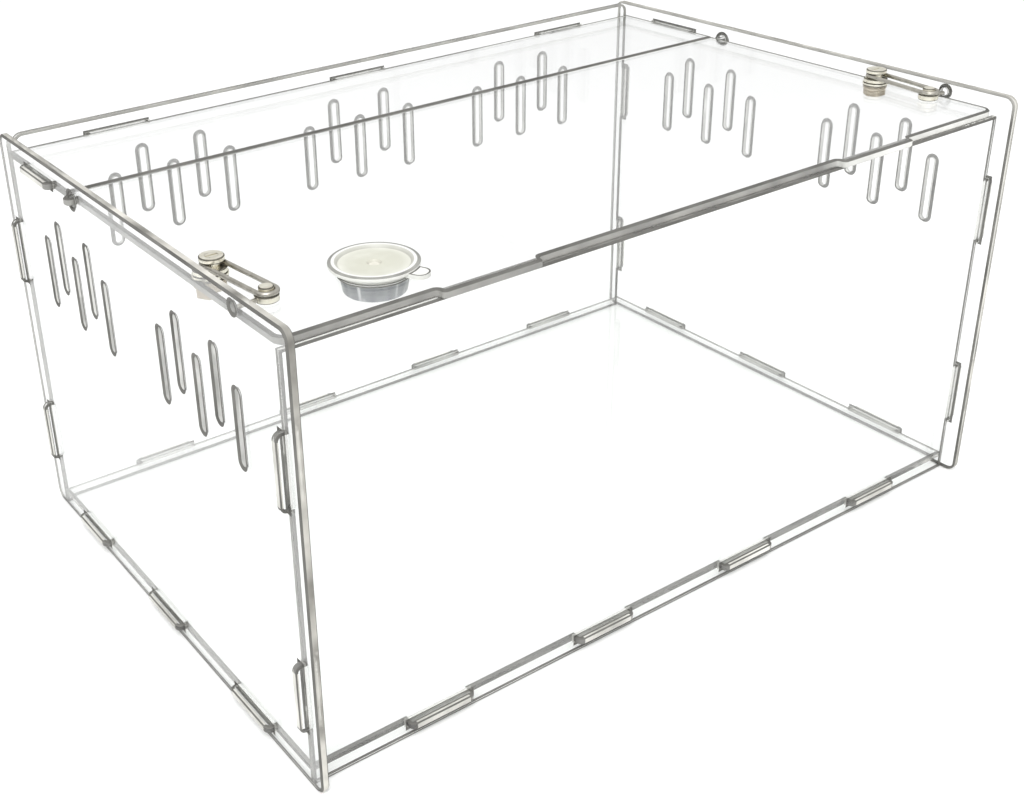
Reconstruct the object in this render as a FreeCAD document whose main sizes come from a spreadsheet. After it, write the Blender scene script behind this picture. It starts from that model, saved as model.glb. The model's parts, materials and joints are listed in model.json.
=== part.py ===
"""Clear acrylic terrarium: flat panels slotted together, a hinged lid with a feed plug and two latches."""
import FreeCAD
import Part
import Sketcher
import math
import os

# Every independent size of the object, in millimetres (angles in degrees).
SIZES = {
    # the case
    "case_width": 300.0,
    "case_depth": 207.0,
    "case_height": 155.0,
    "roof_drop": 8.0,
    "sheet": 2.5,
    "front_margin": 6.0,
    "back_margin": 5.0,
    "base_lift": 4.0,
    "panel_corner": 4.0,
    # tabs and the slots they stand in
    "tab_width": 25.0,
    "tab_reach": 2.5,
    "tab_corner": 2.2,
    "slot_gap": 0.1,
    "wall_tab_low": 33.6,
    "wall_tab_drop": 36.4,
    "strip_depth": 53.5,
    "strip_tab_inset": 29.5,
    # air slots
    "vent_width": 3.0,
    "vent_length": 25.0,
    "vent_pitch": 12.25,
    "vent_stagger": 9.0,
    "side_vent_drop": 55.1,
    "back_vent_drop": 51.2,
    # lid and hinge
    "lid_side_gap": 0.5,
    "lid_rear_gap": 0.4,
    "lid_rest": 1.25,
    "finger_width": 35.0,
    "finger_reach": 3.0,
    "finger_corner": 1.4,
    "hinge_inset": 4.8,
    "ear_width": 4.5,
    "hinge_gap": 0.06,
    # feed plug
    "plug_inset": 42.5,
    "plug_front": 28.8,
    "plug_turn": 25.0,
    "plug_gap": 0.3,
    "plug_neck_radius": 10.15,
    "plug_foot_radius": 9.2,
    "plug_foot_edge": 0.8,
    "plug_drop": 7.8,
    "plug_seat_radius": 10.8,
    "plug_seat_height": 1.6,
    "plug_flange_radius": 13.25,
    "plug_flange_height": 1.4,
    "plug_flange_edge": 0.5,
    "plug_rim_width": 2.0,
    "plug_dish_depth": 0.8,
    "plug_dimple_radius": 2.2,
    "plug_dimple_depth": 0.6,
    "plug_tab_width": 6.0,
    "plug_tab_reach": 4.5,
    "plug_tab_rise": 1.0,
    "plug_tab_height": 1.3,
    "plug_tab_corner": 2.8,
    # latches
    "pivot_inset": 5.4,
    "pivot_front": 55.3,
    "arm_length": 26.0,
    "wire": 1.5,
    "bend_turn": 180.0,
    "wire_gap": 0.05,
    "wire_lift": 0.1,
    "post_radius": 2.2,
    "latch_rest_turn": 6.5,
    "knob_flange_radius": 4.3,
    "knob_flange_height": 1.7,
    "knob_cap_radius": 3.75,
    "knob_cap_height": 1.6,
    "knob_edge": 0.4,
    "stud_rise": 0.3,
    "stud_foot_radius": 3.5,
    "stud_head_height": 0.5,
    "stud_edge": 0.4,
    "pin": 1.4,
    "pin_edge": 0.4,
    "pin_play": 0.85,
    "press_gap": 0.02,
    # pivot hardware
    "shank": 2.5,
    "pivot_gap": 0.05,
    "bore_gap": 0.1,
    "spacer_radius": 4.6,
    "spacer_height": 0.6,
    "head_radius": 1.9,
    "head_height": 0.9,
    "head_slot_width": 0.6,
    "head_slot_depth": 0.4,
    "washer_radius": 4.3,
    "washer_height": 0.6,
    "nut_flats": 7.0,
    "nut_height": 3.0,
    "shank_tail": 0.9,
    # extra length that carries a cut past the face it leaves by
    "overrun": 1.0,
}
# Middles of repeated features along an edge, as shares of that edge's length from its middle.
BASE_LONG_SHARES = (-0.348, -0.116, 0.116, 0.348)
BASE_SIDE_SHARES = (-0.327, 0.0, 0.327)
STRIP_BACK_SHARES = (-0.363, 0.0, 0.363)
SIDE_VENT_SHARES = (-0.2275, 0.2075)
BACK_VENT_SHARES = (-0.2915, 0.0, 0.2915)
FINGER_SHARES = (-0.275, 0.275)
VENTS_PER_GROUP = 5
HEX_SIDES = 6
PICK_TOLERANCE = 1e-3

doc = FreeCAD.newDocument("terrarium")
sheet_table = doc.addObject("Spreadsheet::Sheet", "Sizes")
for row, (name, value) in enumerate(SIZES.items(), start=1):
    sheet_table.set(f"A{row}", name)
    sheet_table.set(f"B{row}", str(value))
    sheet_table.setAlias(f"B{row}", name)
doc.recompute()


class Size:
    """A length that carries both its value and the expression that gives it."""

    def __init__(self, value, text):
        self.value = value
        self.text = text

    def __add__(self, other):
        return Size(self.value + other.value, f"({self.text} + {other.text})")

    def __sub__(self, other):
        return Size(self.value - other.value, f"({self.text} - {other.text})")

    def __mul__(self, factor):
        return Size(self.value * factor, f"({self.text} * ({factor}))")

    def __truediv__(self, factor):
        return Size(self.value / factor, f"({self.text} / {factor})")

    def __neg__(self):
        return Size(-self.value, f"(-{self.text})")


def size(name):
    return Size(SIZES[name], f"Sizes.{name}")


def diagonal(first, second):
    return Size(math.hypot(first.value, second.value), f"sqrt({first.text}^2 + {second.text}^2)")


ZERO = Size(0.0, "0")
OVERRUN = size("overrun")
UPRIGHT = FreeCAD.Vector(0, 0, 1)


class Drawing:
    """A sketch on one of a body's own planes, holding shapes bound to named sizes."""

    def __init__(self, body, name, role, lift=None):
        planes = [feature for feature in body.Origin.OriginFeatures if feature.Role == role]
        self.sketch = body.newObject("Sketcher::SketchObject", name)
        self.sketch.AttachmentSupport = [(planes[0], "")]
        self.sketch.MapMode = "FlatFace"
        if lift is not None:
            self.sketch.setExpression("AttachmentOffset.Base.z", lift.text)
        self.ties = []
        self.measures = []

    def tie(self, *words):
        self.ties.append(Sketcher.Constraint(*words))

    def measure(self, length, *words):
        self.measures.append((Sketcher.Constraint(*words, length.value), length))

    def place(self, geometry, end, across, up):
        self.measure(across, "DistanceX", -1, 1, geometry, end)
        self.measure(up, "DistanceY", -1, 1, geometry, end)

    def polygon(self, corners):
        points = [FreeCAD.Vector(across.value, up.value) for across, up in corners]
        first = self.sketch.GeometryCount
        count = len(points)
        for index, point in enumerate(points):
            self.sketch.addGeometry(Part.LineSegment(point, points[(index + 1) % count]), False)
        for index, (across, up) in enumerate(corners):
            self.tie("Coincident", first + index, 2, first + (index + 1) % count, 1)
            self.place(first + index, 1, across, up)

    def rectangle(self, left, low, wide, tall):
        self.polygon([(left, low), (left + wide, low), (left + wide, low + tall), (left, low + tall)])

    def circle(self, across, up, diameter):
        centre = FreeCAD.Vector(across.value, up.value)
        ring = Part.Circle(centre, UPRIGHT, diameter.value / 2)
        index = self.sketch.addGeometry(ring, False)
        self.place(index, 3, across, up)
        self.measure(diameter, "Diameter", index)

    def upright_slot(self, across, low, wide, tall):
        """Slot with round ends, standing on the height low."""
        radius = wide / 2
        foot = low + radius
        head = low + tall - radius
        lower = Part.Circle(FreeCAD.Vector(across.value, foot.value), UPRIGHT, radius.value)
        upper = Part.Circle(FreeCAD.Vector(across.value, head.value), UPRIGHT, radius.value)
        east = across.value + radius.value
        west = across.value - radius.value
        first = self.sketch.addGeometry(Part.ArcOfCircle(lower, math.pi, 2 * math.pi), False)
        right = FreeCAD.Vector(east, foot.value)
        self.sketch.addGeometry(Part.LineSegment(right, FreeCAD.Vector(east, head.value)), False)
        self.sketch.addGeometry(Part.ArcOfCircle(upper, 0, math.pi), False)
        left = FreeCAD.Vector(west, head.value)
        self.sketch.addGeometry(Part.LineSegment(left, FreeCAD.Vector(west, foot.value)), False)
        self.tie("Tangent", first, 2, first + 1, 1)
        self.tie("Tangent", first + 1, 2, first + 2, 1)
        self.tie("Tangent", first + 2, 2, first + 3, 1)
        self.tie("Tangent", first + 3, 2, first, 1)
        self.place(first, 3, across, foot)
        self.place(first + 2, 3, across, head)
        self.measure(radius, "Radius", first)

    def done(self):
        self.sketch.addConstraint(self.ties)
        for index, (constraint, length) in enumerate(self.measures, start=len(self.ties)):
            self.sketch.addConstraint(constraint)
            self.sketch.setExpression(f"Constraints[{index}]", length.text)
        doc.recompute()
        return self.sketch


def new_body(label):
    body = doc.addObject("PartDesign::Body", label)
    body.Label = label
    return body


def put(body, across, along, up, turn=None):
    """Place a body, turned about its own upright axis where a turn is given."""
    for axis, length in zip("xyz", (across, along, up)):
        body.setExpression(f"Placement.Base.{axis}", length.text)
    if turn is not None:
        body.Placement = FreeCAD.Placement(FreeCAD.Vector(), FreeCAD.Rotation(UPRIGHT, turn.value))
        body.setExpression("Placement.Rotation.Angle", turn.text)


def pad(body, sketch, name, length, reversed_way=False):
    feature = body.newObject("PartDesign::Pad", name)
    feature.Profile = sketch
    feature.setExpression("Length", length.text)
    feature.Reversed = reversed_way
    doc.recompute()
    return feature


def cut(body, sketch, name, length, reversed_way=False):
    """Cut the sketch into the body, and check that it did remove material."""
    before = body.Shape.Volume
    feature = body.newObject("PartDesign::Pocket", name)
    feature.Profile = sketch
    feature.setExpression("Length", length.text)
    feature.Reversed = reversed_way
    doc.recompute()
    if body.Shape.Volume >= before:
        raise ValueError(f"{body.Label}: {name} removes nothing")
    return feature


def spin(body, sketch, name, angle=None, reversed_way=False):
    feature = body.newObject("PartDesign::Revolution", name)
    feature.Profile = sketch
    feature.ReferenceAxis = (sketch, ["V_Axis"])
    if angle is not None:
        feature.setExpression("Angle", angle.text)
    feature.Reversed = reversed_way
    doc.recompute()
    return feature


def round_off(body, name, radius, edges):
    if not edges:
        raise ValueError(f"{body.Label}: {name} finds no edge")
    base = body.Tip
    feature = body.newObject("PartDesign::Fillet", name)
    feature.Base = (base, edges)
    feature.setExpression("Radius", radius.text)
    doc.recompute()
    return feature


def corner_edges(body, axis, corners):
    """Names of the straight edges along an axis that stand on the given corners of a plate."""
    names = []
    others = [index for index in range(3) if index != axis]
    for number, edge in enumerate(body.Shape.Edges, start=1):
        ends = [vertex.Point for vertex in edge.Vertexes]
        if len(ends) != 2 or any(abs(ends[0][index] - ends[1][index]) > PICK_TOLERANCE for index in others):
            continue
        for corner in corners:
            apart = [abs(ends[0][index] - length.value) for index, length in zip(others, corner)]
            if max(apart) < PICK_TOLERANCE:
                names.append(f"Edge{number}")
                break
    return names


def ring_edges(body, radius, centres):
    """Names of the circular edges with the given radius about any of the given centres."""
    names = []
    for number, edge in enumerate(body.Shape.Edges, start=1):
        if not isinstance(edge.Curve, Part.Circle):
            continue
        for centre in centres:
            apart = [abs(edge.Curve.Center[index] - length.value) for index, length in enumerate(centre)]
            if max(apart) < PICK_TOLERANCE and abs(edge.Curve.Radius - radius.value) < PICK_TOLERANCE:
                names.append(f"Edge{number}")
                break
    return names


# Shared planes of the case: origin at the middle of the footprint, front towards -Y.
SHEET = size("sheet")
TAB = size("tab_width")
REACH = size("tab_reach")
GAP = size("slot_gap")
INNER = size("case_width") - SHEET * 2
FRONT_EDGE = -size("case_depth") / 2
FRONT_OUT = FRONT_EDGE + size("front_margin")
FRONT_IN = FRONT_OUT + SHEET
BACK_OUT = size("case_depth") / 2 - size("back_margin")
BACK_IN = BACK_OUT - SHEET
BASE_LOW = size("base_lift")
ROOF_LOW = size("case_height") - size("roof_drop")
ROOF_TOP = ROOF_LOW + SHEET
FLOOR_DEPTH = BACK_IN - FRONT_IN
FLOOR_MIDDLE = (FRONT_IN + BACK_IN) / 2
STRIP_FRONT = BACK_IN - size("strip_depth")
LID_REAR = STRIP_FRONT - size("lid_rear_gap")
HINGE_ALONG = LID_REAR - size("hinge_inset")
HINGE_UP = ROOF_LOW + SHEET / 2
HINGE_HOLE = diagonal(size("ear_width"), SHEET) + size("hinge_gap") * 2

# Middles of the tabs along each edge.
BASE_LONG_TABS = [INNER * share for share in BASE_LONG_SHARES]
BASE_SIDE_TABS = [FLOOR_MIDDLE + FLOOR_DEPTH * share for share in BASE_SIDE_SHARES]
WALL_TABS = [size("wall_tab_low"), ROOF_LOW - size("wall_tab_drop")]
STRIP_BACK_TABS = [INNER * share for share in STRIP_BACK_SHARES]
STRIP_SIDE_TABS = [BACK_IN - size("strip_tab_inset")]

PLUG_ACROSS = size("plug_inset") - INNER / 2
PLUG_ALONG = FRONT_EDGE + size("plug_front")

# Latch: heights and places that several pieces share.
PIVOT_ACROSS = INNER / 2 - size("pivot_inset")
PIVOT_ALONG = FRONT_EDGE + size("pivot_front")
LATCH_HOLE_ALONG = PIVOT_ALONG - size("arm_length")
BEND_RADIUS = size("post_radius") + size("wire_gap") + size("wire") / 2
KNOB_LOW = ROOF_TOP + size("spacer_height") + size("pivot_gap")
SHOULDER_UP = KNOB_LOW + size("knob_flange_height")
WIRE_UP = SHOULDER_UP + size("wire_lift") + size("wire") / 2
GROOVE = size("wire") + size("wire_lift") * 2
KNOB_HEIGHT = size("knob_flange_height") + GROOVE + size("knob_cap_height")
RECESS = size("head_height") + size("pivot_gap")
HEAD_LOW = KNOB_LOW + KNOB_HEIGHT - size("head_height")
STUD_LOW = ROOF_TOP + size("stud_rise")
FOOT_HEIGHT = SHOULDER_UP - STUD_LOW
PIN_UP = STUD_LOW + FOOT_HEIGHT / 2
PIN_HOLE = size("pin") + size("pin_play") * 2
PIN_LENGTH = size("pivot_inset") + SHEET
BORE = size("shank") + size("bore_gap") * 2


def tabbed_plate(label, role, box, tabs):
    """Flat plate with tabs that stand out by the sheet they pass through and the reach beyond it.

    box is left, low, wide and tall; tabs name the edge and the middle of each tab along it.
    """
    left, low, wide, tall = box
    stand = SHEET + REACH
    body = new_body(label)
    plate = Drawing(body, f"{label}_plate", role)
    plate.rectangle(left, low, wide, tall)
    pad(body, plate.done(), f"{label}_sheet", SHEET)
    outline = Drawing(body, f"{label}_tabs", role)
    corners = []
    for edge, middle in tabs:
        start = middle - TAB / 2
        if edge in ("left", "right"):
            inner = left if edge == "left" else left + wide
            outer = inner - stand if edge == "left" else inner + stand
            outline.rectangle(outer if edge == "left" else inner, start, stand, TAB)
            corners += [(outer, start), (outer, start + TAB)]
        else:
            inner = low if edge == "low" else low + tall
            outer = inner - stand if edge == "low" else inner + stand
            outline.rectangle(start, outer if edge == "low" else inner, TAB, stand)
            corners += [(start, outer), (start + TAB, outer)]
    pad(body, outline.done(), f"{label}_tab_pad", SHEET)
    axis = 2 if role == "XY_Plane" else 1
    round_off(body, f"{label}_tab_round", size("tab_corner"), corner_edges(body, axis, corners))
    return body


def vents(body, role, groups, foot):
    """Groups of upright air slots, every second one raised by the stagger."""
    drawing = Drawing(body, f"{body.Label}_vents", role)
    for middle in groups:
        for number in range(VENTS_PER_GROUP):
            steps = number - (VENTS_PER_GROUP - 1) / 2
            raised = size("vent_stagger") if number % 2 else ZERO
            across = middle + size("vent_pitch") * steps
            drawing.upright_slot(across, foot + raised, size("vent_width"), size("vent_length"))
    return drawing.done()


def side_panel(label, side):
    body = new_body(label)
    role = "YZ_Plane"
    depth = size("case_depth")
    height = size("case_height")
    plate = Drawing(body, f"{label}_plate", role)
    plate.rectangle(FRONT_EDGE, ZERO, depth, height)
    pad(body, plate.done(), f"{label}_sheet", SHEET)
    ends = [(along, up) for along in (FRONT_EDGE, -FRONT_EDGE) for up in (ZERO, height)]
    round_off(body, f"{label}_round", size("panel_corner"), corner_edges(body, 0, ends))
    slots = Drawing(body, f"{label}_slots", role)
    long_slot = TAB + GAP * 2
    thin_slot = SHEET + GAP * 2
    for wall in (FRONT_OUT, BACK_IN):
        for middle in WALL_TABS:
            slots.rectangle(wall - GAP, middle - long_slot / 2, thin_slot, long_slot)
    for middle in BASE_SIDE_TABS:
        slots.rectangle(middle - long_slot / 2, BASE_LOW - GAP, long_slot, thin_slot)
    for middle in STRIP_SIDE_TABS:
        slots.rectangle(middle - long_slot / 2, ROOF_LOW - GAP, long_slot, thin_slot)
    slots.circle(HINGE_ALONG, HINGE_UP, HINGE_HOLE)
    slots.circle(LATCH_HOLE_ALONG, PIN_UP, PIN_HOLE)
    cut(body, slots.done(), f"{label}_slot_cut", SHEET + OVERRUN, True)
    groups = [depth * share for share in SIDE_VENT_SHARES]
    openings = vents(body, role, groups, height - size("side_vent_drop"))
    cut(body, openings, f"{label}_vent_cut", SHEET + OVERRUN, True)
    outer = size("case_width") / 2
    put(body, -outer if side < 0 else outer - SHEET, ZERO, ZERO)
    return body


def end_panel(label, height, rear_face, strip_tabs):
    """Front or back panel; the back one also carries the strip's slots and the air slots."""
    role = "XZ_Plane"
    tabs = [(edge, middle) for edge in ("left", "right") for middle in WALL_TABS]
    body = tabbed_plate(label, role, (-INNER / 2, ZERO, INNER, height), tabs)
    slots = Drawing(body, f"{label}_slots", role)
    long_slot = TAB + GAP * 2
    thin_slot = SHEET + GAP * 2
    for middle in BASE_LONG_TABS:
        slots.rectangle(middle - long_slot / 2, BASE_LOW - GAP, long_slot, thin_slot)
    for middle in strip_tabs:
        slots.rectangle(middle - long_slot / 2, ROOF_LOW - GAP, long_slot, thin_slot)
    cut(body, slots.done(), f"{label}_slot_cut", SHEET + OVERRUN, True)
    if strip_tabs:
        tops = [(-INNER / 2, height), (INNER / 2, height)]
        round_off(body, f"{label}_round", size("panel_corner"), corner_edges(body, 1, tops))
        groups = [INNER * share for share in BACK_VENT_SHARES]
        openings = vents(body, role, groups, height - size("back_vent_drop"))
        cut(body, openings, f"{label}_vent_cut", SHEET + OVERRUN, True)
    put(body, ZERO, rear_face, ZERO)
    return body


def base_panel():
    tabs = [(edge, middle) for edge in ("low", "high") for middle in BASE_LONG_TABS]
    tabs += [(edge, middle) for edge in ("left", "right") for middle in BASE_SIDE_TABS]
    body = tabbed_plate("base_panel", "XY_Plane", (-INNER / 2, FRONT_IN, INNER, FLOOR_DEPTH), tabs)
    put(body, ZERO, ZERO, BASE_LOW)
    return body


def rear_strip():
    tabs = [("high", middle) for middle in STRIP_BACK_TABS]
    tabs += [(edge, middle) for edge in ("left", "right") for middle in STRIP_SIDE_TABS]
    box = (-INNER / 2, STRIP_FRONT, INNER, size("strip_depth"))
    body = tabbed_plate("rear_strip", "XY_Plane", box, tabs)
    put(body, ZERO, ZERO, ROOF_LOW)
    return body


def lid():
    """Lid panel with two hinge ears, two finger tabs, the plug's hole and the pivot screws' holes."""
    body = new_body("lid")
    role = "XY_Plane"
    half = INNER / 2 - size("lid_side_gap")
    front = FRONT_OUT + SHEET - size("lid_rest")
    plate = Drawing(body, "lid_plate", role)
    plate.rectangle(-half, front, half * 2, LID_REAR - front)
    pad(body, plate.done(), "lid_sheet", SHEET)
    outline = Drawing(body, "lid_tabs", role)
    ear = size("ear_width")
    ear_reach = size("lid_side_gap") + SHEET + REACH
    finger = size("finger_width")
    reach = size("finger_reach")
    ear_corners = []
    finger_corners = []
    for side, share in zip((-1, 1), FINGER_SHARES):
        ear_low = HINGE_ALONG - ear / 2
        outline.rectangle(-half - ear_reach if side < 0 else half, ear_low, ear_reach, ear)
        tip = (half + ear_reach) * side
        ear_corners += [(tip, ear_low), (tip, ear_low + ear)]
        left = INNER * share - finger / 2
        outline.rectangle(left, front - reach, finger, reach)
        finger_corners += [(left, front - reach), (left + finger, front - reach)]
        finger_corners += [(left, front), (left + finger, front)]
    pad(body, outline.done(), "lid_tab_pad", SHEET)
    fronts = [(half * side, front) for side in (-1, 1)]
    round_off(body, "lid_ear_round", size("tab_corner"), corner_edges(body, 2, ear_corners))
    round_off(body, "lid_finger_round", size("finger_corner"), corner_edges(body, 2, finger_corners))
    round_off(body, "lid_corner_round", size("panel_corner"), corner_edges(body, 2, fronts))
    holes = Drawing(body, "lid_holes", role)
    plug_hole = (size("plug_neck_radius") + size("plug_gap")) * 2
    holes.circle(PLUG_ACROSS, PLUG_ALONG, plug_hole)
    holes.circle(-PIVOT_ACROSS, PIVOT_ALONG, BORE)
    holes.circle(PIVOT_ACROSS, PIVOT_ALONG, BORE)
    cut(body, holes.done(), "lid_hole_cut", SHEET + OVERRUN, True)
    put(body, ZERO, ZERO, ROOF_LOW)
    return body


def feed_plug():
    """Turned stopper: tapered neck, seat on the lid, flange with a dished top and a dimple, pull tab."""
    body = new_body("feed_plug")
    neck = size("plug_neck_radius")
    seat = size("plug_seat_radius")
    seat_height = size("plug_seat_height")
    rim = size("plug_flange_radius")
    height = seat_height + size("plug_flange_height")
    dish = height - size("plug_dish_depth")
    dish_radius = rim - size("plug_rim_width")
    dimple = dish - size("plug_dimple_depth")
    drop = -size("plug_drop")
    profile = Drawing(body, "feed_plug_profile", "XZ_Plane")
    profile.polygon([
        (ZERO, drop),
        (size("plug_foot_radius"), drop),
        (neck, -SHEET),
        (neck, ZERO),
        (seat, ZERO),
        (seat, seat_height),
        (rim, seat_height),
        (rim, height),
        (dish_radius, height),
        (dish_radius - size("plug_dish_depth"), dish),
        (size("plug_dimple_radius"), dish),
        (size("plug_dimple_radius") - size("plug_dimple_depth"), dimple),
        (ZERO, dimple),
    ])
    spin(body, profile.done(), "feed_plug_turned")
    brim = ring_edges(body, rim, [(ZERO, ZERO, seat_height), (ZERO, ZERO, height)])
    round_off(body, "feed_plug_brim", size("plug_flange_edge"), brim)
    tongue = Drawing(body, "feed_plug_tongue", "XY_Plane", size("plug_tab_rise"))
    half = size("plug_tab_width") / 2
    tip = -rim - size("plug_tab_reach")
    tongue.rectangle(-half, tip, half * 2, -tip - neck)
    pad(body, tongue.done(), "feed_plug_tab", size("plug_tab_height"))
    tips = corner_edges(body, 2, [(-half, tip), (half, tip)])
    round_off(body, "feed_plug_tab_round", size("plug_tab_corner"), tips)
    foot = ring_edges(body, size("plug_foot_radius"), [(ZERO, ZERO, drop)])
    round_off(body, "feed_plug_foot", size("plug_foot_edge"), foot)
    put(body, PLUG_ACROSS, PLUG_ALONG, ROOF_TOP, size("plug_turn"))
    return body


def ring_piece(label, radius, bore, height, side, low):
    body = new_body(label)
    outline = Drawing(body, f"{label}_ring", "XY_Plane")
    outline.circle(ZERO, ZERO, radius * 2)
    outline.circle(ZERO, ZERO, bore)
    pad(body, outline.done(), f"{label}_pad", height)
    put(body, PIVOT_ACROSS * side, PIVOT_ALONG, low)
    return body


def pivot_screw(label, side):
    """Pivot screw: slotted head sunk in the knob, shank down through spacer, lid, washer and nut."""
    body = new_body(label)
    below = HEAD_LOW - ROOF_LOW + size("washer_height") + size("nut_height") + size("shank_tail")
    head = size("head_radius")
    top = size("head_height")
    profile = Drawing(body, f"{label}_profile", "XZ_Plane")
    profile.polygon([
        (ZERO, -below),
        (size("shank") / 2, -below),
        (size("shank") / 2, ZERO),
        (head, ZERO),
        (head, top),
        (ZERO, top),
    ])
    spin(body, profile.done(), f"{label}_turned")
    slot = Drawing(body, f"{label}_slot", "XY_Plane", top)
    wide = size("head_slot_width")
    reach = head + OVERRUN
    slot.rectangle(-reach, -wide / 2, reach * 2, wide)
    cut(body, slot.done(), f"{label}_slot_cut", size("head_slot_depth"))
    put(body, PIVOT_ACROSS * side, PIVOT_ALONG, HEAD_LOW)
    return body


def pivot_nut(label, side):
    prism = doc.addObject("Part::Prism", f"{label}_prism")
    prism.Polygon = HEX_SIDES
    corner_radius = size("nut_flats") / (2 * math.cos(math.pi / HEX_SIDES))
    prism.setExpression("Circumradius", corner_radius.text)
    prism.setExpression("Height", size("nut_height").text)
    bore = doc.addObject("Part::Cylinder", f"{label}_bore")
    bore.setExpression("Radius", (size("shank") / 2 + size("press_gap")).text)
    bore.setExpression("Height", (size("nut_height") + OVERRUN * 2).text)
    bore.setExpression("Placement.Base.z", (-OVERRUN).text)
    nut = doc.addObject("Part::Cut", label)
    nut.Label = label
    nut.Base = prism
    nut.Tool = bore
    put(nut, PIVOT_ACROSS * side, PIVOT_ALONG, ROOF_LOW - size("washer_height") - size("nut_height"))
    return nut


def hang_on_pivot(body, side, up):
    """Place a latch piece drawn about the pivot, turned inward to where it leaves the lid free."""
    put(body, PIVOT_ACROSS * side, PIVOT_ALONG, up, size("latch_rest_turn") * -side)


def latch_arm(label, side):
    """Closed wire link: two straight runs and two half-turn bends, round the knob and round the stud."""
    body = new_body(label)
    wire = size("wire")
    reach = size("arm_length")
    half_turn = size("bend_turn")
    first = Drawing(body, f"{label}_first_section", "XZ_Plane")
    first.circle(-BEND_RADIUS, ZERO, wire)
    section = first.done()
    pad(body, section, f"{label}_first_run", reach)
    spin(body, section, f"{label}_rear_bend", half_turn, True)
    second = Drawing(body, f"{label}_second_section", "XZ_Plane")
    second.circle(BEND_RADIUS, ZERO, wire)
    pad(body, second.done(), f"{label}_second_run", reach)
    front = Drawing(body, f"{label}_front_section", "XZ_Plane", reach)
    front.circle(-BEND_RADIUS, ZERO, wire)
    spin(body, front.done(), f"{label}_front_bend", half_turn)
    hang_on_pivot(body, side, WIRE_UP)
    return body


def latch_knob(label, side):
    """Turned thumb knob on the pivot screw: flange, groove for the wire, cap with the screw's recess."""
    body = new_body(label)
    bore = size("shank") / 2 + size("pivot_gap")
    flange = size("knob_flange_radius")
    shoulder = size("knob_flange_height")
    cap = size("knob_cap_radius")
    recess = size("head_radius") + size("bore_gap")
    floor = KNOB_HEIGHT - RECESS
    profile = Drawing(body, f"{label}_profile", "XZ_Plane")
    profile.polygon([
        (bore, ZERO),
        (flange, ZERO),
        (flange, shoulder),
        (size("post_radius"), shoulder),
        (size("post_radius"), shoulder + GROOVE),
        (cap, shoulder + GROOVE),
        (cap, KNOB_HEIGHT),
        (recess, KNOB_HEIGHT),
        (recess, floor),
        (bore, floor),
    ])
    spin(body, profile.done(), f"{label}_turned")
    rims = ring_edges(body, flange, [(ZERO, ZERO, ZERO), (ZERO, ZERO, shoulder)])
    rims += ring_edges(body, cap, [(ZERO, ZERO, shoulder + GROOVE), (ZERO, ZERO, KNOB_HEIGHT)])
    round_off(body, f"{label}_rims", size("knob_edge"), rims)
    hang_on_pivot(body, side, KNOB_LOW)
    return body


def latch_stud(label, side):
    """Turned stud in the link's front bend: a foot that slides over the lid and a post for the wire."""
    body = new_body(label)
    along = -size("arm_length")
    foot = size("stud_foot_radius")
    top = FOOT_HEIGHT + GROOVE + size("stud_head_height")
    lower = Drawing(body, f"{label}_foot", "XY_Plane")
    lower.circle(ZERO, along, foot * 2)
    pad(body, lower.done(), f"{label}_foot_pad", FOOT_HEIGHT)
    upper = Drawing(body, f"{label}_post", "XY_Plane")
    upper.circle(ZERO, along, size("post_radius") * 2)
    pad(body, upper.done(), f"{label}_post_pad", top)
    rims = ring_edges(body, foot, [(ZERO, along, ZERO), (ZERO, along, FOOT_HEIGHT)])
    rims += ring_edges(body, size("post_radius"), [(ZERO, along, top)])
    round_off(body, f"{label}_rims", size("stud_edge"), rims)
    bore = Drawing(body, f"{label}_pin_bore", "YZ_Plane")
    bore.circle(along, PIN_UP - STUD_LOW, size("pin") + size("press_gap") * 2)
    cut(body, bore.done(), f"{label}_pin_cut", foot + OVERRUN, side > 0)
    hang_on_pivot(body, side, STUD_LOW)
    return body


def latch_pin(label, side):
    """Bolt pin that stands out of the stud's foot towards the side panel."""
    body = new_body(label)
    along = -size("arm_length")
    section = Drawing(body, f"{label}_section", "YZ_Plane")
    section.circle(along, ZERO, size("pin"))
    pad(body, section.done(), f"{label}_bar", PIN_LENGTH, side < 0)
    tip = (PIN_LENGTH * side, along, ZERO)
    round_off(body, f"{label}_tip", size("pin_edge"), ring_edges(body, size("pin") / 2, [tip]))
    hang_on_pivot(body, side, PIN_UP)
    return body


def latch(prefix, side):
    """All pieces of one latch: side is -1 on the left and 1 on the right."""
    spacer_height = size("spacer_height")
    spacer = (f"{prefix}_pivot_spacer", size("spacer_radius"), BORE, spacer_height, side, ROOF_TOP)
    washer_low = ROOF_LOW - size("washer_height")
    washer = (f"{prefix}_pivot_washer", size("washer_radius"), BORE, size("washer_height"), side, washer_low)
    return [
        latch_arm(f"{prefix}_latch_arm", side),
        latch_knob(f"{prefix}_latch_knob", side),
        latch_stud(f"{prefix}_latch_stud", side),
        latch_pin(f"{prefix}_latch_pin", side),
        pivot_screw(f"{prefix}_pivot_screw", side),
        ring_piece(*spacer),
        ring_piece(*washer),
        pivot_nut(f"{prefix}_pivot_nut", side),
    ]


def check_and_write(pieces):
    doc.recompute()
    for item in doc.Objects:
        if any(state in ("Invalid", "Error") for state in item.State):
            raise ValueError(f"{item.Label} is {item.State}")
    for piece in pieces:
        if piece.Shape.isNull() or not piece.Shape.isValid():
            raise ValueError(f"{piece.Label} has no sound shape")
    os.makedirs("parts", exist_ok=True)
    for piece in pieces:
        piece.Shape.exportStep(f"parts/{piece.Label}.step")


check_and_write([
    side_panel("left_panel", -1),
    side_panel("right_panel", 1),
    end_panel("front_panel", ROOF_LOW, FRONT_IN, []),
    end_panel("back_panel", size("case_height"), BACK_OUT, STRIP_BACK_TABS),
    base_panel(),
    rear_strip(),
    lid(),
    feed_plug(),
    *latch("left", -1),
    *latch("right", 1),
])
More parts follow.
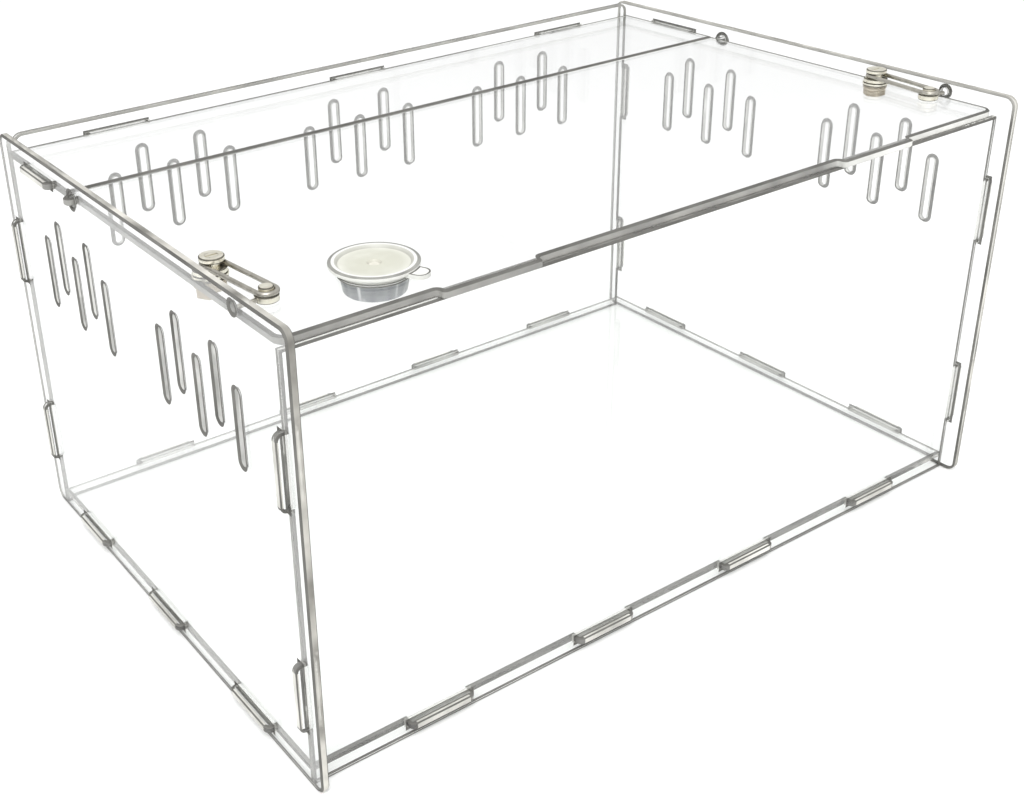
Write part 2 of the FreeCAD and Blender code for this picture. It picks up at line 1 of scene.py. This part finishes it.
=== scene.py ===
"""Clear acrylic terrarium, dressed and lit for the photograph's view."""
import json
import math

import bmesh
import bpy
from mathutils import Matrix, Vector


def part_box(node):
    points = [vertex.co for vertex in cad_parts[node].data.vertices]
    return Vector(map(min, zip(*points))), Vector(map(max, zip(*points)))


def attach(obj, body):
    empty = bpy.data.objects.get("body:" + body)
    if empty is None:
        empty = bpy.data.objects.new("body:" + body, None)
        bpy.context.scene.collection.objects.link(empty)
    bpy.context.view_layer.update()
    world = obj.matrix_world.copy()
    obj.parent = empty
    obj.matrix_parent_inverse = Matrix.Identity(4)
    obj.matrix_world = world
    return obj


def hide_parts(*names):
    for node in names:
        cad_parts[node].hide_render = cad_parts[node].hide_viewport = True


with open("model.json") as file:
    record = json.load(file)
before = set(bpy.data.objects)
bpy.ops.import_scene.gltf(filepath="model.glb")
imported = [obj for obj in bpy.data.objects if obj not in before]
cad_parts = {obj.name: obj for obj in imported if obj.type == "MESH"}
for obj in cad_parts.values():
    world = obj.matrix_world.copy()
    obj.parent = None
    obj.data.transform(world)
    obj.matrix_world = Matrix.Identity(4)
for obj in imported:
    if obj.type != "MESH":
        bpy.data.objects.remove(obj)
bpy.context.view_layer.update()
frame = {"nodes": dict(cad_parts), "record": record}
SCENE = bpy.context.scene

# Camera, fitted to the panels' edges in the photograph with a moderate lens shift (metres, degrees, pixels).
IMAGE_SIZE = (1024, 794)
FOCAL_PIXELS = 1378.0
PRINCIPAL_POINT = (391.6, 337.5)
CAMERA_PLACE = (-0.29465, -0.37470, 0.30510)
CAMERA_AZIMUTH = 32.946
CAMERA_DROP = 26.534
CAMERA_ROLL = 2.446
SENSOR = 36.0
CLIP_START = 0.01

# Floor, lamp and surroundings (metres, watts, strengths), and how far light is followed through the sheets.
FLOOR_HALF = 6.0
KEY_PLACE = (-0.8, -1.0, 1.6)
KEY_AIM = (0.0, 0.0, 0.05)
KEY_SIZE = 1.2
KEY_POWER = 22.0
BRIGHT_SIDE = (-0.4, -0.3, 1.0)
WORLD_LEVELS = (0.55, 1.1)
TRANSPARENT_LAYERS = 64
LIGHT_BOUNCES = 32

# Sheets: the axis that each one is thin along, then the widths in metres of the dark margins of painted shade
# along the outline on the lower and the higher face, and on the outer face round the vents and round the tab
# slots.
SHEETS = {
    "left_panel": (0, 0.0006, 0.0006, 0.0009, 0.0003),
    "right_panel": (0, 0.0004, 0.0004, 0.0009, 0.0005),
    "front_panel": (1, 0.0004, 0.0004, 0.0003, 0.0003),
    "back_panel": (1, 0.0006, 0.0003, 0.0009, 0.0003),
    "base_panel": (2, 0.0, 0.0007, 0.0, 0.0),
    "rear_strip": (2, 0.0, 0.0009, 0.0, 0.0),
    "lid": (2, 0.0, 0.0009, 0.0003, 0.0003),
}

# Places of a sheet's finishes among its materials: broad faces, lines round holes, cuts between the tabs,
# tab ends, vents, tab slots, and the line along the outline.
BROAD, LINED, EDGE, TAB, VENT, SLOT, RIM = range(7)

# A tab slot has four corners, and a tab's end is shorter than this. ARRIS is the width of a broken corner.
SLOT_CORNERS = 4
TAB_LONGEST = 0.045
ARRIS = 0.0004

# Points closer than WELD are one; edges sharper than SHARP stay sharp. The rest are parts of a normal: above
# FACING it points along an axis, between the two values of ROUNDED it is on a rounded rim, and above UPWARD
# it belongs to the stopper's upper face.
WELD = 1e-6
SHARP = math.radians(25)
FACING = 0.9
ROUNDED = (0.12, 0.98)
UPWARD = 0.4363

# Stopper: flange radius, width of the painted shade line round its pull tab, how far under the lid's face it
# is milky, and the places of its finishes among its materials.
PLUG_RIM = 0.01325
TAB_LINE = 0.0005
MILKY_DEPTH = (0.0022, 0.0012)
PLUG_TOP, PLUG_SIDE, PLUG_LINE = range(3)

# Where along the lid's front its cut edge turns from dark, a painted dark reflection, to paler tints, and how
# far up the painted shade line along the right and back panels turns pale.
REFLECTION_TURN = (0.056, 0.066)
RIM_TURN = (0.145, 0.152)

# Noises of the finishes: scale and detail. A tint or roughness runs across the middle band of its noise.
SMEAR = (38.0, 4.0)
CUT_LINES = (900.0, 2.0)
CUT_CLOUD = (55.0, 3.0)
LINE_CLOUD = (70.0, 3.0)
METAL_CLOUD = (420.0, 4.0)
METAL_GRAIN = (2600.0, 1.0)
MILKY_CLOUD = (180.0, 4.0)
MILKY_PATCHES = (90.0, 3.0)
NECK_HIGHLIGHT_STREAKS = (330.0, 1.0)
FLOOR_CLOUD = (3.0, 2.0)
UNSTRETCHED = (1.0, 1.0, 1.0)
UPRIGHT_STREAKS = (1.0, 1.0, 0.04)
BAND = (0.3, 0.7)
LINE_BAND = (0.35, 0.7)

# Clear sheet and its cut edges.
ACRYLIC_IOR = 1.49
FACE_TINT = (0.992, 0.996, 0.994, 1.0)
FACE_THROUGH = (0.98, 0.985, 0.98, 1.0)
FACE_GLOSS = 0.2
SMEAR_ROUGHNESS = (0.0, 0.02)
CUT_THROUGH = (0.95, 0.95, 0.935, 1.0)
CUT_ROUGHNESS = 0.42
CUT_BUMP = (0.25, 0.0002)
CLEAR_CUT_TINTS = ((0.66, 0.66, 0.63), (0.78, 0.78, 0.75))
# Lines along the cuts: painted shade, paler higher up on the right and back panels.
LINE_TINTS = ((0.11, 0.108, 0.10), (0.18, 0.177, 0.165))
PALE_LINE_TINTS = ((0.27, 0.265, 0.25), (0.40, 0.395, 0.37))
LINE_ROUGHNESS = 0.6
LINE_GLOSS = 0.15

# Metal and floor.
METAL_BUMP = (0.12, 0.0001)
FLOOR_TINTS = ((0.93, 0.93, 0.93), (0.95, 0.95, 0.95))
FLOOR_ROUGHNESS = 0.9

# Milky stopper: its rings by their share of the flange radius, the dark ones at the dish's slope and edge
# painted shade, the streaks on its neck, which are painted highlights, and its cloudy tints.
PLUG_RINGS = [
    (0.0, (0.62, 0.60, 0.52)),
    (0.09, (0.72, 0.70, 0.62)),
    (0.13, (0.50, 0.49, 0.42)),
    (0.19, (0.56, 0.56, 0.47)),
    (0.60, (0.56, 0.56, 0.48)),
    (0.77, (0.66, 0.66, 0.59)),
    (0.79, (0.40, 0.40, 0.36)),
    (0.845, (0.52, 0.52, 0.48)),
    (0.86, (0.80, 0.80, 0.78)),
    (0.91, (0.80, 0.80, 0.78)),
    (0.925, (0.16, 0.16, 0.15)),
    (1.0, (0.19, 0.19, 0.18)),
]
NECK_STOPS = [
    (0.35, (0.17, 0.18, 0.20)),
    (0.60, (0.25, 0.26, 0.28)),
    (0.70, (0.7, 0.7, 0.72)),
]
DISH_TINTS = ((0.50, 0.50, 0.42), (0.78, 0.78, 0.72))
DISH_SHARES = (0.0, 0.3)
CREAM_TINTS = ((0.68, 0.68, 0.64), (0.78, 0.78, 0.75))
MILKY_ROUGHNESS = 0.3


class Nodes:
    """A material's node tree with short calls for adding and joining nodes."""

    def __init__(self, name):
        self.material = bpy.data.materials.new(name)
        self.material.use_nodes = True
        self.tree = self.material.node_tree
        self.tree.nodes.clear()
        self.output = self.tree.nodes.new("ShaderNodeOutputMaterial")
        self.place = self.tree.nodes.new("ShaderNodeTexCoord")

    def add(self, kind, **settings):
        """New node, with values for its sockets or, for other names, its attributes."""
        node = self.tree.nodes.new(kind)
        for key, value in settings.items():
            if key in node.inputs:
                node.inputs[key].default_value = value
            else:
                setattr(node, key, value)
        return node

    def join(self, source, out, target, into):
        self.tree.links.new(source.outputs[out], target.inputs[into])

    def noise(self, scale, detail, stretch=UNSTRETCHED):
        """Noise in the object's own coordinates, optionally stretched along an axis."""
        mapping = self.add("ShaderNodeMapping", Scale=stretch)
        self.join(self.place, "Object", mapping, "Vector")
        node = self.add("ShaderNodeTexNoise", Scale=scale, Detail=detail)
        self.join(mapping, "Vector", node, "Vector")
        return node

    def along(self, axis, start, end):
        """Share of the way from one place on an axis to another, in the object's own coordinates."""
        parts = self.add("ShaderNodeSeparateXYZ")
        self.join(self.place, "Object", parts, "Vector")
        return self.spread(parts, axis, 0.0, 1.0, start, end)

    def out_from(self, centre, radius):
        """Level distance from an upright axis, as a share of a radius."""
        away = self.add("ShaderNodeVectorMath", operation="SUBTRACT")
        self.join(self.place, "Object", away, 0)
        away.inputs[1].default_value = centre
        flat = self.add("ShaderNodeVectorMath", operation="MULTIPLY")
        self.join(away, 0, flat, 0)
        flat.inputs[1].default_value = (1.0, 1.0, 0.0)
        length = self.add("ShaderNodeVectorMath", operation="LENGTH")
        self.join(flat, 0, length, 0)
        return self.spread(length, "Value", 0.0, 1.0, 0.0, radius)

    def spread(self, source, out, low, high, start=BAND[0], end=BAND[1]):
        """Map one range of values onto another; by default, from the middle of a noise."""
        node = self.add("ShaderNodeMapRange")
        for name, value in (("From Min", start), ("From Max", end), ("To Min", low), ("To Max", high)):
            node.inputs[name].default_value = value
        self.join(source, out, node, "Value")
        return node

    def ramp(self, source, out, stops):
        """Colour by a value, from stops that each have a place and a colour."""
        node = self.add("ShaderNodeValToRGB")
        band = node.color_ramp
        while len(band.elements) < len(stops):
            band.elements.new(1.0)
        for element, (place, colour) in zip(band.elements, stops):
            element.position = place
            element.color = (*colour, 1.0)
        self.join(source, out, node, "Fac")
        return node.outputs["Color"]

    def tint(self, source, tints, band=BAND):
        """Colour that runs from one tint to another across the middle of a noise."""
        return self.ramp(source, "Fac", list(zip(band, tints)))

    def mix(self, share, first, second):
        """Blend two colour outputs by the result of a share."""
        node = self.add("ShaderNodeMix", data_type="RGBA")
        self.join(share, "Result", node, "Factor")
        self.tree.links.new(first, node.inputs["A"])
        self.tree.links.new(second, node.inputs["B"])
        return node.outputs["Result"]

    def blend(self, share, out, first, second):
        """Mix two shaders by an output of a share."""
        node = self.add("ShaderNodeMixShader")
        self.join(share, out, node, 0)
        self.join(first, 0, node, 1)
        self.join(second, 0, node, 2)
        return node

    def paint(self, body, colour):
        """Give a shader its base colour."""
        self.tree.links.new(colour, body.inputs["Base Color"])

    def bump(self, body, source, strength, depth):
        """Raise a shader's surface by a noise."""
        node = self.add("ShaderNodeBump", Strength=strength, Distance=depth)
        self.join(source, "Fac", node, "Height")
        self.join(node, "Normal", body, "Normal")

    def show(self, shader):
        """Put a shader on the surface and return the finished material."""
        self.tree.links.new(shader.outputs[0], self.output.inputs["Surface"])
        return self.material


def clear_face():
    """Polished broad face of clear sheet: bends what is seen through it, and lets lamps through unbent."""
    nodes = Nodes("clear_face")
    glass = nodes.add("ShaderNodeBsdfPrincipled", IOR=ACRYLIC_IOR)
    glass.inputs["Base Color"].default_value = FACE_TINT
    glass.inputs["Transmission Weight"].default_value = 1.0
    glass.inputs["Specular IOR Level"].default_value = FACE_GLOSS
    smear = nodes.spread(nodes.noise(*SMEAR), "Fac", *SMEAR_ROUGHNESS)
    nodes.join(smear, "Result", glass, "Roughness")
    through = nodes.add("ShaderNodeBsdfTransparent", Color=FACE_THROUGH)
    path = nodes.add("ShaderNodeLightPath")
    unbent = nodes.add("ShaderNodeMath", operation="MAXIMUM")
    nodes.join(path, "Is Shadow Ray", unbent, 0)
    nodes.join(path, "Is Diffuse Ray", unbent, 1)
    return nodes.show(nodes.blend(unbent, 0, glass, through))


def cut_edge(name, tints, shares, turn=None):
    """Laser-cut edge: frosted and partly clear, with fine lines across the sheet."""
    nodes = Nodes(name)
    cloud = nodes.noise(*CUT_CLOUD)
    tint = nodes.tint(cloud, tints)
    # On the roof edges the darker tints before the turn are a painted dark reflection.
    if turn:
        tint = nodes.mix(nodes.along("X", *turn), tint, nodes.tint(cloud, CLEAR_CUT_TINTS))
    body = nodes.add("ShaderNodeBsdfPrincipled", Roughness=CUT_ROUGHNESS)
    nodes.paint(body, tint)
    nodes.bump(body, nodes.noise(*CUT_LINES), *CUT_BUMP)
    through = nodes.add("ShaderNodeBsdfTransparent", Color=CUT_THROUGH)
    share = nodes.spread(cloud, "Fac", *shares)
    return nodes.show(nodes.blend(share, "Result", through, body))


def dark_line(name, tints, top_tints=None):
    """Dark matt line on a cut's broken corner and margin, or on a rounded brass rim: painted shade that reads
    as a grey line.
    """
    nodes = Nodes(name)
    cloud = nodes.noise(*LINE_CLOUD)
    tint = nodes.tint(cloud, tints, LINE_BAND)
    if top_tints:
        tint = nodes.mix(nodes.along("Z", *RIM_TURN), tint, nodes.tint(cloud, top_tints, LINE_BAND))
    body = nodes.add("ShaderNodeBsdfPrincipled", Roughness=LINE_ROUGHNESS)
    body.inputs["Specular IOR Level"].default_value = LINE_GLOSS
    nodes.paint(body, tint)
    return nodes.show(body)


def metal(name, tints, rough):
    """Turned or drawn metal with fine mottling."""
    nodes = Nodes(name)
    cloud = nodes.noise(*METAL_CLOUD)
    body = nodes.add("ShaderNodeBsdfPrincipled", Metallic=1.0)
    nodes.paint(body, nodes.tint(cloud, tints))
    nodes.join(nodes.spread(cloud, "Fac", *rough), "Result", body, "Roughness")
    nodes.bump(body, nodes.noise(*METAL_GRAIN), *METAL_BUMP)
    return nodes.show(body)


def plug_axis():
    """Middle of the stopper's lowest circle."""
    points = [vert.co for vert in frame["nodes"]["feed_plug"].data.vertices]
    least = min(point.z for point in points)
    foot = [point for point in points if point.z < least + WELD]
    return (Vector(map(min, *foot)) + Vector(map(max, *foot))) / 2


def milky_top():
    """Upper face of the milky stopper: creamy dish, whiter rim, a dark ring of painted shade on the dish's
    slope and a thin grey line of painted shade at the very edge.
    """
    nodes = Nodes("milky_top")
    rings = nodes.ramp(nodes.out_from(plug_axis(), PLUG_RIM), "Result", PLUG_RINGS)
    cloud = nodes.tint(nodes.noise(*MILKY_CLOUD), DISH_TINTS)
    part = nodes.spread(nodes.noise(*MILKY_PATCHES), "Fac", *DISH_SHARES)
    body = nodes.add("ShaderNodeBsdfPrincipled", Roughness=MILKY_ROUGHNESS)
    nodes.paint(body, nodes.mix(part, rings, cloud))
    return nodes.show(body)


def milky_side():
    """Sides of the milky stopper: white above, blue-grey on the neck below the lid, with pale streaks that
    are painted highlights.
    """
    nodes = Nodes("milky_side")
    cream = nodes.tint(nodes.noise(*MILKY_CLOUD), CREAM_TINTS)
    # Pale upright streaks on the neck: painted highlights.
    neck = nodes.ramp(nodes.noise(*NECK_HIGHLIGHT_STREAKS, UPRIGHT_STREAKS), "Fac", NECK_STOPS)
    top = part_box("lid")[1].z
    height = nodes.along("Z", *(top - depth for depth in MILKY_DEPTH))
    body = nodes.add("ShaderNodeBsdfPrincipled", Roughness=MILKY_ROUGHNESS)
    nodes.paint(body, nodes.mix(height, neck, cream))
    return nodes.show(body)


def pale_floor():
    """Matt, nearly even floor."""
    nodes = Nodes("pale_floor")
    body = nodes.add("ShaderNodeBsdfPrincipled", Roughness=FLOOR_ROUGHNESS)
    nodes.paint(body, nodes.tint(nodes.noise(*FLOOR_CLOUD), FLOOR_TINTS))
    return nodes.show(body)


# Finishes. A cut edge has two tints and the range of its share that is not clear; a metal has two tints and
# the range of its roughness.
FACE = clear_face()
# The lines along the sheets' cuts are painted shade, not a tint of the acrylic.
LINE = dark_line("painted_shade_margin_line", LINE_TINTS)
PALE_LINE = dark_line("pale_painted_shade_line", LINE_TINTS, PALE_LINE_TINTS)
SIDE_EDGE = cut_edge("side_edge", ((0.32, 0.31, 0.28), (0.74, 0.72, 0.66)), (0.5, 0.9))
INNER_EDGE = cut_edge("inner_edge", ((0.36, 0.355, 0.34), (0.52, 0.515, 0.49)), (0.25, 0.55))
TAB_EDGE = cut_edge("tab_edge", ((0.54, 0.53, 0.49), (0.80, 0.79, 0.74)), (0.7, 1.0))
# Dark tints of the lid's and rear strip's cut edges: a painted dark reflection, up to the turn along the
# lid's front.
PAINTED_REFLECTION_EDGE = cut_edge("painted_reflection_roof_edge", ((0.22, 0.22, 0.21), (0.34, 0.335, 0.315)), (0.8, 1.0), REFLECTION_TURN)
VENT_EDGE = cut_edge("vent_edge", ((0.62, 0.62, 0.60), (0.84, 0.84, 0.82)), (0.5, 0.9))
SLOT_EDGE = cut_edge("slot_edge", ((0.48, 0.475, 0.45), (0.68, 0.675, 0.645)), (0.3, 0.6))
BRASS = metal("turned_brass", ((0.76, 0.72, 0.60), (0.90, 0.88, 0.78)), (0.25, 0.42))
NUT = metal("dull_brass", ((0.36, 0.31, 0.24), (0.54, 0.48, 0.39)), (0.35, 0.55))
WIRE = metal("drawn_wire", ((0.36, 0.345, 0.30), (0.52, 0.50, 0.45)), (0.28, 0.42))
# Rounded rims of the brass pieces are finished dark and matt: painted shade.
SHADE = dark_line("brass_rim_painted_shade", ((0.09, 0.085, 0.07), (0.17, 0.16, 0.13)))
MILKY_TOP = milky_top()
MILKY_SIDE = milky_side()

# Finish of the cut edges of each sheet, between its tabs and at their ends, and of the line along its
# outline.
EDGES = {
    "left_panel": (SIDE_EDGE, SIDE_EDGE, LINE),
    "right_panel": (SIDE_EDGE, SIDE_EDGE, PALE_LINE),
    "front_panel": (INNER_EDGE, TAB_EDGE, LINE),
    "back_panel": (INNER_EDGE, TAB_EDGE, PALE_LINE),
    "base_panel": (INNER_EDGE, TAB_EDGE, LINE),
    "rear_strip": (PAINTED_REFLECTION_EDGE, TAB_EDGE, LINE),
    "lid": (PAINTED_REFLECTION_EDGE, PAINTED_REFLECTION_EDGE, LINE),
}


def copy_node(node):
    """Welded working copy of a CAD node's mesh."""
    work = bmesh.new()
    work.from_mesh(frame["nodes"][node].data)
    bmesh.ops.remove_doubles(work, verts=work.verts, dist=WELD)
    work.normal_update()
    return work


def finish_piece(work, node, body, materials, suffix):
    """Turn a working copy into a piece that stands for its CAD node and rides on the node's body."""
    mesh = bpy.data.meshes.new(f"{node}_{suffix}")
    work.to_mesh(mesh)
    work.free()
    for material in materials:
        mesh.materials.append(material)
    piece = bpy.data.objects.new(f"{node}_{suffix}", mesh)
    SCENE.collection.objects.link(piece)
    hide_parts(node)
    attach(piece, body)


def limits(outline):
    """Lowest and highest corner of the box round an outline."""
    return Vector(map(min, *outline)), Vector(map(max, *outline))


def sheet_outlines(work, axis):
    """Closed outlines of a sheet's upper broad face, the outer one first, with the sheet on their left."""
    after = {}
    for face in work.faces:
        if face.normal[axis] > FACING:
            for corner in face.loops:
                if corner.link_loop_radial_next.face.normal[axis] < FACING:
                    after[corner.vert] = corner.link_loop_next.vert
    outlines = []
    while after:
        first, vert = after.popitem()
        outline = [first.co.copy()]
        while vert is not first:
            outline.append(vert.co.copy())
            vert = after.pop(vert)
        outlines.append(outline)

    def extent(outline):
        low, high = limits(outline)
        return (high - low).length

    return sorted(outlines, key=extent, reverse=True)


def moved_in(outline, axis, width):
    """The outline moved into the sheet by a width, with mitred corners."""
    up = Vector((0.0, 0.0, 0.0))
    up[axis] = 1.0
    moved = []
    for place, point in enumerate(outline):
        before = up.cross(point - outline[place - 1]).normalized()
        behind = up.cross(outline[(place + 1) % len(outline)] - point).normalized()
        moved.append(point + (before + behind) * (width / (1.0 + before.dot(behind))))
    return moved


def edge_steps(outline, axis, low, high, margins):
    """Points and levels of an edge's section: margin, broken corner, cut, broken corner, margin."""
    corner = moved_in(outline, axis, ARRIS)
    steps = [(corner, low), (outline, low + ARRIS), (outline, high - ARRIS), (corner, high)]
    if margins[0]:
        steps.insert(0, (moved_in(outline, axis, ARRIS + margins[0]), low))
    if margins[1]:
        steps.append((moved_in(outline, axis, ARRIS + margins[1]), high))
    return steps


def on_limits(points, low, high):
    """Whether all the points lie on one side of the box between two corners."""
    for axis in range(3):
        for limit in (low[axis], high[axis]):
            if high[axis] - low[axis] > WELD and all(abs(point[axis] - limit) < WELD for point in points):
                return True
    return False


def lined_sheet(node, axis, low_margin, high_margin, vent_margin, slot_margin):
    """A sheet made again from its outlines, with its corners broken and its margins marked."""
    source = copy_node(node)
    outlines = sheet_outlines(source, axis)
    source.free()
    low, high = (corner[axis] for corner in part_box(node))
    work = bmesh.new()

    def ring(points, level):
        """The points as vertices at a level of the sheet's thickness."""
        verts = []
        for point in points:
            place = point.copy()
            place[axis] = level
            verts.append(work.verts.new(place))
        return verts

    def wall(lower, upper, finishes):
        """Faces between two rings, each with its own finish."""
        for near in range(len(lower)):
            far = (near + 1) % len(lower)
            face = work.faces.new((lower[near], lower[far], upper[far], upper[near]))
            face.material_index = finishes[near]

    def margins(outline):
        """Widths of an outline's margins on the lower and the higher face."""
        if outline is outlines[0]:
            return low_margin, high_margin
        width = slot_margin if len(outline) == SLOT_CORNERS else vent_margin
        return (0.0, width) if abs(high) > abs(low) else (width, 0.0)

    def cut_finishes(outline):
        """Finishes of the cut along an outline, one for each of its points."""
        count = len(outline)
        if outline is not outlines[0]:
            return [SLOT if count == SLOT_CORNERS else VENT] * count
        finishes = []
        for near in range(count):
            ends = (outline[near], outline[(near + 1) % count])
            short = (ends[1] - ends[0]).length < TAB_LONGEST
            finishes.append(TAB if short and on_limits(ends, *limits(outline)) else EDGE)
        return finishes

    pale_tabs = EDGES[node][1] is TAB_EDGE
    rims = {low: [], high: []}
    for outline in outlines:
        widths = margins(outline)
        steps = edge_steps(outline, axis, low, high, widths)
        rings = [ring(points, level) for points, level in steps]
        cuts = cut_finishes(outline)
        line = RIM if outline is outlines[0] else LINED
        lines = [line] * len(outline)
        flats = [TAB if cut == TAB and pale_tabs else line for cut in cuts]
        # The broken corner of a face without a margin is finished as the cut is, except round a vent.
        corners = zip((0, len(steps) - 2), widths)
        unlined = [place for place, width in corners if not width and VENT not in cuts]
        for place in range(len(steps) - 1):
            (near, below), (far, above) = steps[place], steps[place + 1]
            if near is far or place in unlined:
                finishes = cuts
            else:
                finishes = flats if below == above else lines
            wall(rings[place], rings[place + 1], finishes)
        rims[low].append(rings[0])
        rims[high].append(rings[-1])
    for loops in rims.values():
        pairs = [(loop[place - 1], loop[place]) for loop in loops for place in range(len(loop))]
        edges = [work.edges.get(pair) for pair in pairs]
        filled = bmesh.ops.triangle_fill(work, use_beauty=True, use_dissolve=False, edges=edges)
        for face in filled["geom"]:
            if isinstance(face, bmesh.types.BMFace):
                face.material_index = BROAD
    bmesh.ops.recalc_face_normals(work, faces=work.faces)
    return work


def dress_sheet(node, body):
    """Sheet with broken corners: broad faces, margins, cut edges and holes each get their own finish."""
    work = lined_sheet(node, *SHEETS[node])
    edge, tab, rim = EDGES[node]
    materials = (FACE, LINE, edge, tab, VENT_EDGE, SLOT_EDGE, rim)
    finish_piece(work, node, body, materials, "sheet")


def smooth_all(work):
    """Shade smoothly across all but the sharper edges."""
    for face in work.faces:
        face.smooth = True
    for edge in work.edges:
        edge.smooth = edge.calc_face_angle(0.0) < SHARP


def dress_turned(node, body, finish):
    """Turned piece: flat and upright faces in its own finish, its rounded rims in shade."""
    work = copy_node(node)
    for face in work.faces:
        face.material_index = int(ROUNDED[0] < abs(face.normal.z) < ROUNDED[1])
    smooth_all(work)
    finish_piece(work, node, body, (finish, SHADE), "brass")


def dress_plug(node, body):
    """Stopper: upper face, sides and neck, and a line of painted shade along the edge of its pull tab."""
    work = copy_node(node)
    axis = plug_axis()
    tab = []
    for face in work.faces:
        face.material_index = PLUG_SIDE if face.normal.z < UPWARD else PLUG_TOP
        out = (face.calc_center_median() - axis).to_2d().length
        if face.normal.z > FACING and out > PLUG_RIM:
            face.material_index = PLUG_SIDE
            tab.append(face)
    inset = bmesh.ops.inset_region(work, faces=tab, thickness=TAB_LINE, use_even_offset=True)
    for face in inset["faces"]:
        face.material_index = PLUG_LINE
    smooth_all(work)
    finish_piece(work, node, body, (MILKY_TOP, MILKY_SIDE, LINE), "milky")


def dress_all():
    """Give every CAD node its finish, by the kind of piece that it is."""
    for body, nodes in frame["record"]["behaviour"]["bodies"].items():
        for node in nodes:
            if node in SHEETS:
                dress_sheet(node, body)
            elif node == "feed_plug":
                dress_plug(node, body)
            elif node.endswith(("latch_arm", "latch_pin")):
                slots = frame["nodes"][node].material_slots
                slots[0].link = "OBJECT"
                slots[0].material = WIRE
            else:
                dress_turned(node, body, NUT if node.endswith(("washer", "nut")) else BRASS)


def put_camera():
    """Camera from its place, angles and principal point."""
    turn, drop, roll = (math.radians(angle) for angle in (CAMERA_AZIMUTH, CAMERA_DROP, CAMERA_ROLL))
    ahead = Vector((math.sin(turn) * math.cos(drop), math.cos(turn) * math.cos(drop), -math.sin(drop)))
    level = Vector((math.cos(turn), -math.sin(turn), 0.0))
    below = ahead.cross(level)
    right = math.cos(roll) * level + math.sin(roll) * below
    down = -math.sin(roll) * level + math.cos(roll) * below
    data = bpy.data.cameras.new("camera")
    data.sensor_width = SENSOR
    data.lens = FOCAL_PIXELS * SENSOR / IMAGE_SIZE[0]
    data.shift_x = (IMAGE_SIZE[0] / 2 - PRINCIPAL_POINT[0]) / IMAGE_SIZE[0]
    data.shift_y = (PRINCIPAL_POINT[1] - IMAGE_SIZE[1] / 2) / IMAGE_SIZE[0]
    data.clip_start = CLIP_START
    camera = bpy.data.objects.new("camera", data)
    aim = Matrix((right, -down, -ahead)).transposed().to_4x4()
    camera.matrix_world = Matrix.Translation(CAMERA_PLACE) @ aim
    SCENE.collection.objects.link(camera)
    SCENE.camera = camera


def put_floor():
    """Plain pale floor under the object."""
    corners = [(-FLOOR_HALF, -FLOOR_HALF, 0), (FLOOR_HALF, -FLOOR_HALF, 0),
               (FLOOR_HALF, FLOOR_HALF, 0), (-FLOOR_HALF, FLOOR_HALF, 0)]
    mesh = bpy.data.meshes.new("floor")
    mesh.from_pydata(corners, [], [(0, 1, 2, 3)])
    mesh.materials.append(pale_floor())
    floor = bpy.data.objects.new("floor", mesh)
    SCENE.collection.objects.link(floor)


def put_lamp():
    """One large round lamp over the front left."""
    data = bpy.data.lights.new("key", "AREA")
    data.shape = "DISK"
    data.size = KEY_SIZE
    data.energy = KEY_POWER
    lamp = bpy.data.objects.new("key", data)
    lamp.location = KEY_PLACE
    lamp.rotation_mode = "QUATERNION"
    lamp.rotation_quaternion = (Vector(KEY_AIM) - Vector(KEY_PLACE)).to_track_quat("-Z", "Y")
    SCENE.collection.objects.link(lamp)


def put_world():
    """Plain white surroundings, a little brighter towards one side."""
    world = bpy.data.worlds.new("studio")
    SCENE.world = world
    world.use_nodes = True
    tree = world.node_tree
    back = tree.nodes["Background"]
    back.inputs["Color"].default_value = (1.0, 1.0, 1.0, 1.0)
    place = tree.nodes.new("ShaderNodeTexCoord")
    towards = tree.nodes.new("ShaderNodeVectorMath")
    towards.operation = "DOT_PRODUCT"
    towards.inputs[1].default_value = Vector(BRIGHT_SIDE).normalized()
    level = tree.nodes.new("ShaderNodeMapRange")
    level.inputs["From Min"].default_value = -1.0
    level.inputs["To Min"].default_value, level.inputs["To Max"].default_value = WORLD_LEVELS
    tree.links.new(place.outputs["Generated"], towards.inputs[0])
    tree.links.new(towards.outputs["Value"], level.inputs["Value"])
    tree.links.new(level.outputs["Result"], back.inputs["Strength"])


dress_all()
put_camera()
put_floor()
put_world()
put_lamp()
SCENE.view_settings.view_transform = "Standard"
SCENE.cycles.transparent_max_bounces = TRANSPARENT_LAYERS
SCENE.cycles.max_bounces = LIGHT_BOUNCES
SCENE.cycles.transmission_bounces = LIGHT_BOUNCES
